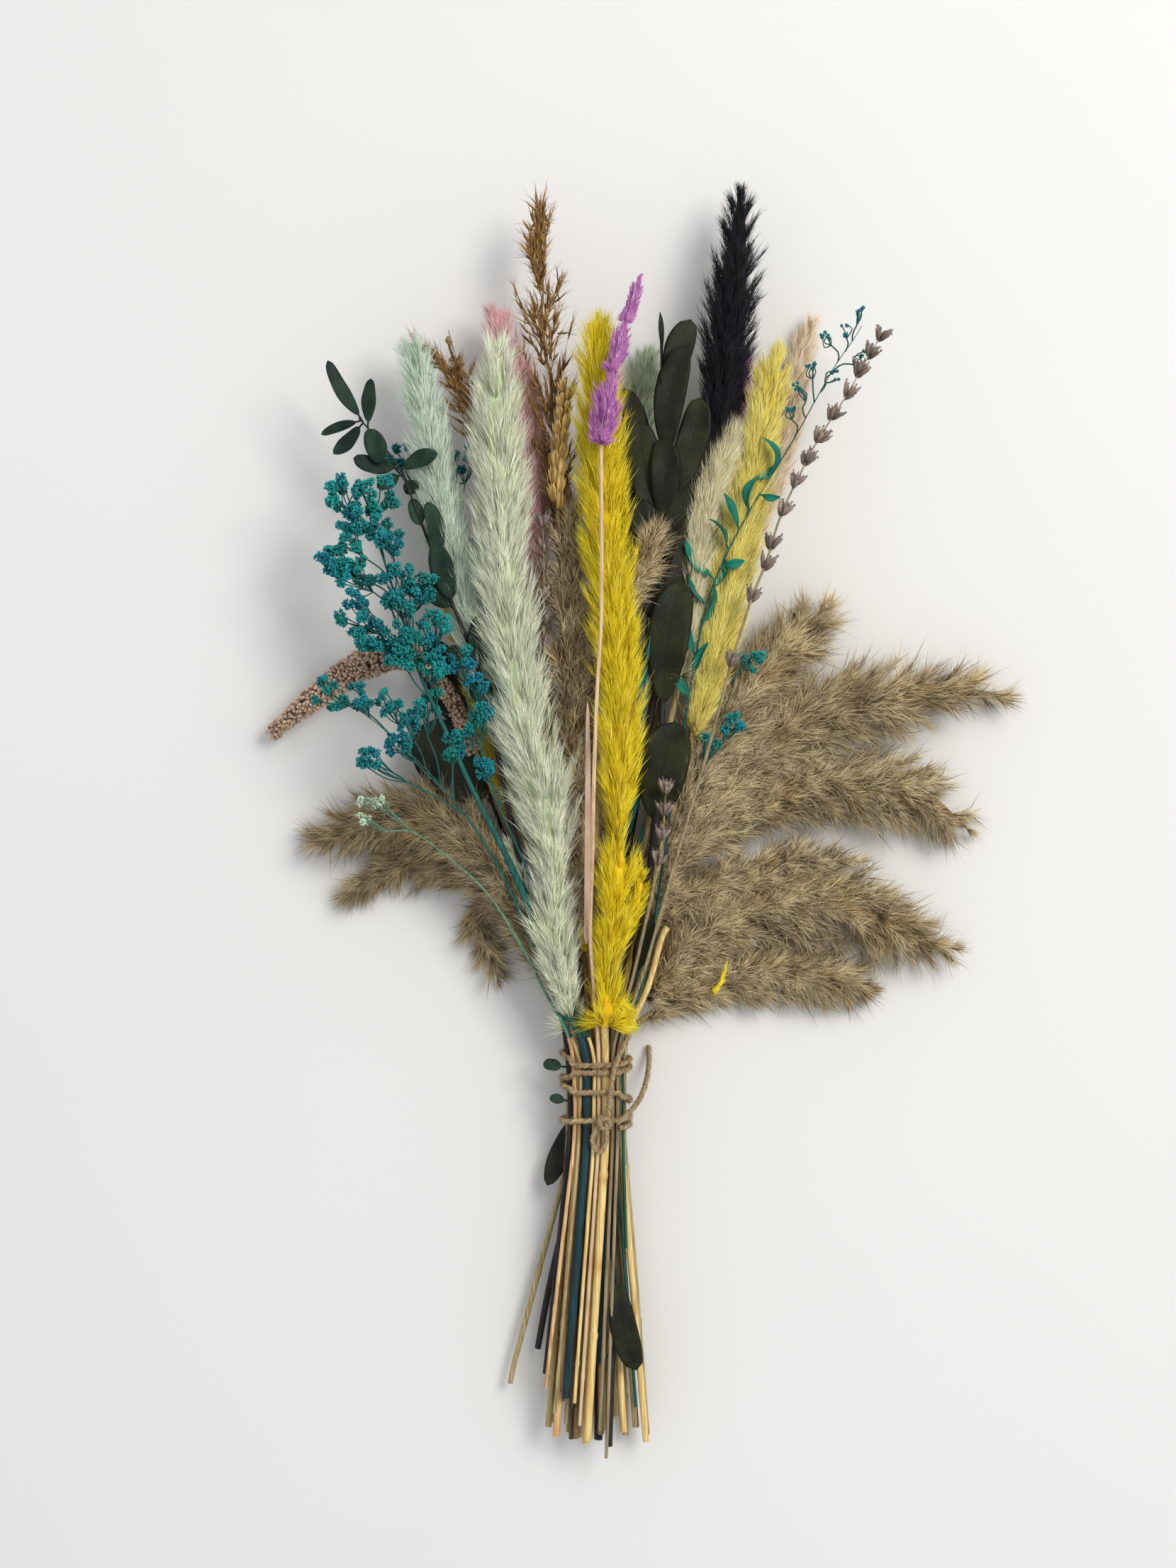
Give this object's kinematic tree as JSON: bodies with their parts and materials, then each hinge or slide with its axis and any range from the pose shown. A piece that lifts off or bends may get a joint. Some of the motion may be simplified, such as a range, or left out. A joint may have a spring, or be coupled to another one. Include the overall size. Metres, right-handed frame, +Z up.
{
  "type": "bouquet of dried flowers",
  "caption": "Flat-lying bunch of dyed and natural dried plumes, reeds, eucalyptus, lavender and tiny-flowered sprays, tied round the stalks with jute twine.",
  "frame": {"origin": "middle of the bouquet's footprint, on the surface it lies on, with the loose tail of twine not counted", "axes": "+Y up the stalks from the cut ends to the flower heads, +X to the right seen from above, +Z up"},
  "size_m": [0.298, 0.502, 0.0702],
  "materials": {
    "plume_mint": "soft fibrous dyed plume, matt",
    "plume_mint_grey": "soft fibrous dyed plume, matt",
    "plume_yellow": "soft fibrous dyed plume, matt",
    "plume_yellow_pale": "soft fibrous dyed plume, matt",
    "plume_pink": "soft fibrous dyed plume, matt",
    "plume_cream": "soft fibrous natural plume, matt",
    "plume_peach": "soft fibrous dyed plume, matt",
    "plume_black": "soft fibrous dyed plume, matt",
    "plume_purple": "soft fibrous dyed plume, matt",
    "reed_natural": "coarse fibrous natural reed plume, matt",
    "grass_bronze": "dry chaffy seed head, matt",
    "wheat": "dry husks with bristles, slight sheen",
    "millet": "close dry seeds, matt",
    "eucalyptus_dark": "thick waxy dried leaf, satin",
    "eucalyptus_green": "thick waxy dried leaf, satin",
    "mist_teal": "tiny dyed papery flowers, matt",
    "mist_pale": "tiny dyed papery flowers, matt",
    "lavender_dried": "dry buds, matt",
    "statice": "dry papery flowers, matt",
    "stalk_straw": "dry straw, slight sheen along the grain",
    "stalk_brown": "dry stalk, matt",
    "stalk_dark": "dry stalk, matt",
    "stalk_teal": "dyed dry reed, slight sheen",
    "twine_jute": "twisted natural jute, hairy"
  },
  "bodies": {
    "root": {"reed_plume_left_lower": "reed_natural", "mist_spray_back": "mist_teal", "brown_stalk": "stalk_brown", "reed_plume_right_lower": "reed_natural", "reed_plume_right_tail": "reed_natural", "dark_curved_stalk": "stalk_dark", "reed_plume_left_middle": "reed_natural", "eucalyptus_round": "eucalyptus_dark", "statice_sprig": "statice", "mint_plume_back": "plume_mint_grey", "purple_plume_back": "plume_purple", "peach_plume": "plume_peach", "reed_plume_right_third": "reed_natural", "reed_plume_left_upper": "reed_natural", "millet_spike": "millet", "yellow_plume_left": "plume_yellow_pale", "pink_plume": "plume_pink", "reed_plume_centre": "reed_natural", "black_plume": "plume_black", "reed_plume_right_first": "reed_natural", "reed_plume_right_second": "reed_natural", "mint_plume_left": "plume_mint", "bronze_grass_side": "grass_bronze", "bronze_grass_tall": "grass_bronze", "straw_stalk_short": "stalk_straw", "cream_plume": "plume_cream", "yellow_plume_right": "plume_yellow_pale", "mist_spray_low_right": "mist_teal", "straw_stalk_right": "stalk_straw", "eucalyptus_small": "eucalyptus_green", "mint_plume_front": "plume_mint", "lavender_left": "lavender_dried", "wheat_ear": "wheat", "straw_stalk": "stalk_straw", "teal_reed": "stalk_teal", "eucalyptus_large": "eucalyptus_dark", "mist_sprig_right": "mist_teal", "mist_sprig_pale": "mist_pale", "mist_spray_low": "mist_teal", "mist_spray_main": "mist_teal", "mist_spray_middle": "mist_teal", "purple_tail_grass": "plume_purple", "yellow_plume_front": "plume_yellow", "lavender_middle": "lavender_dried", "lavender_right": "lavender_dried", "twine_tie": "twine_jute", "twine_tail": "twine_jute"}
  },
  "joints": []
}
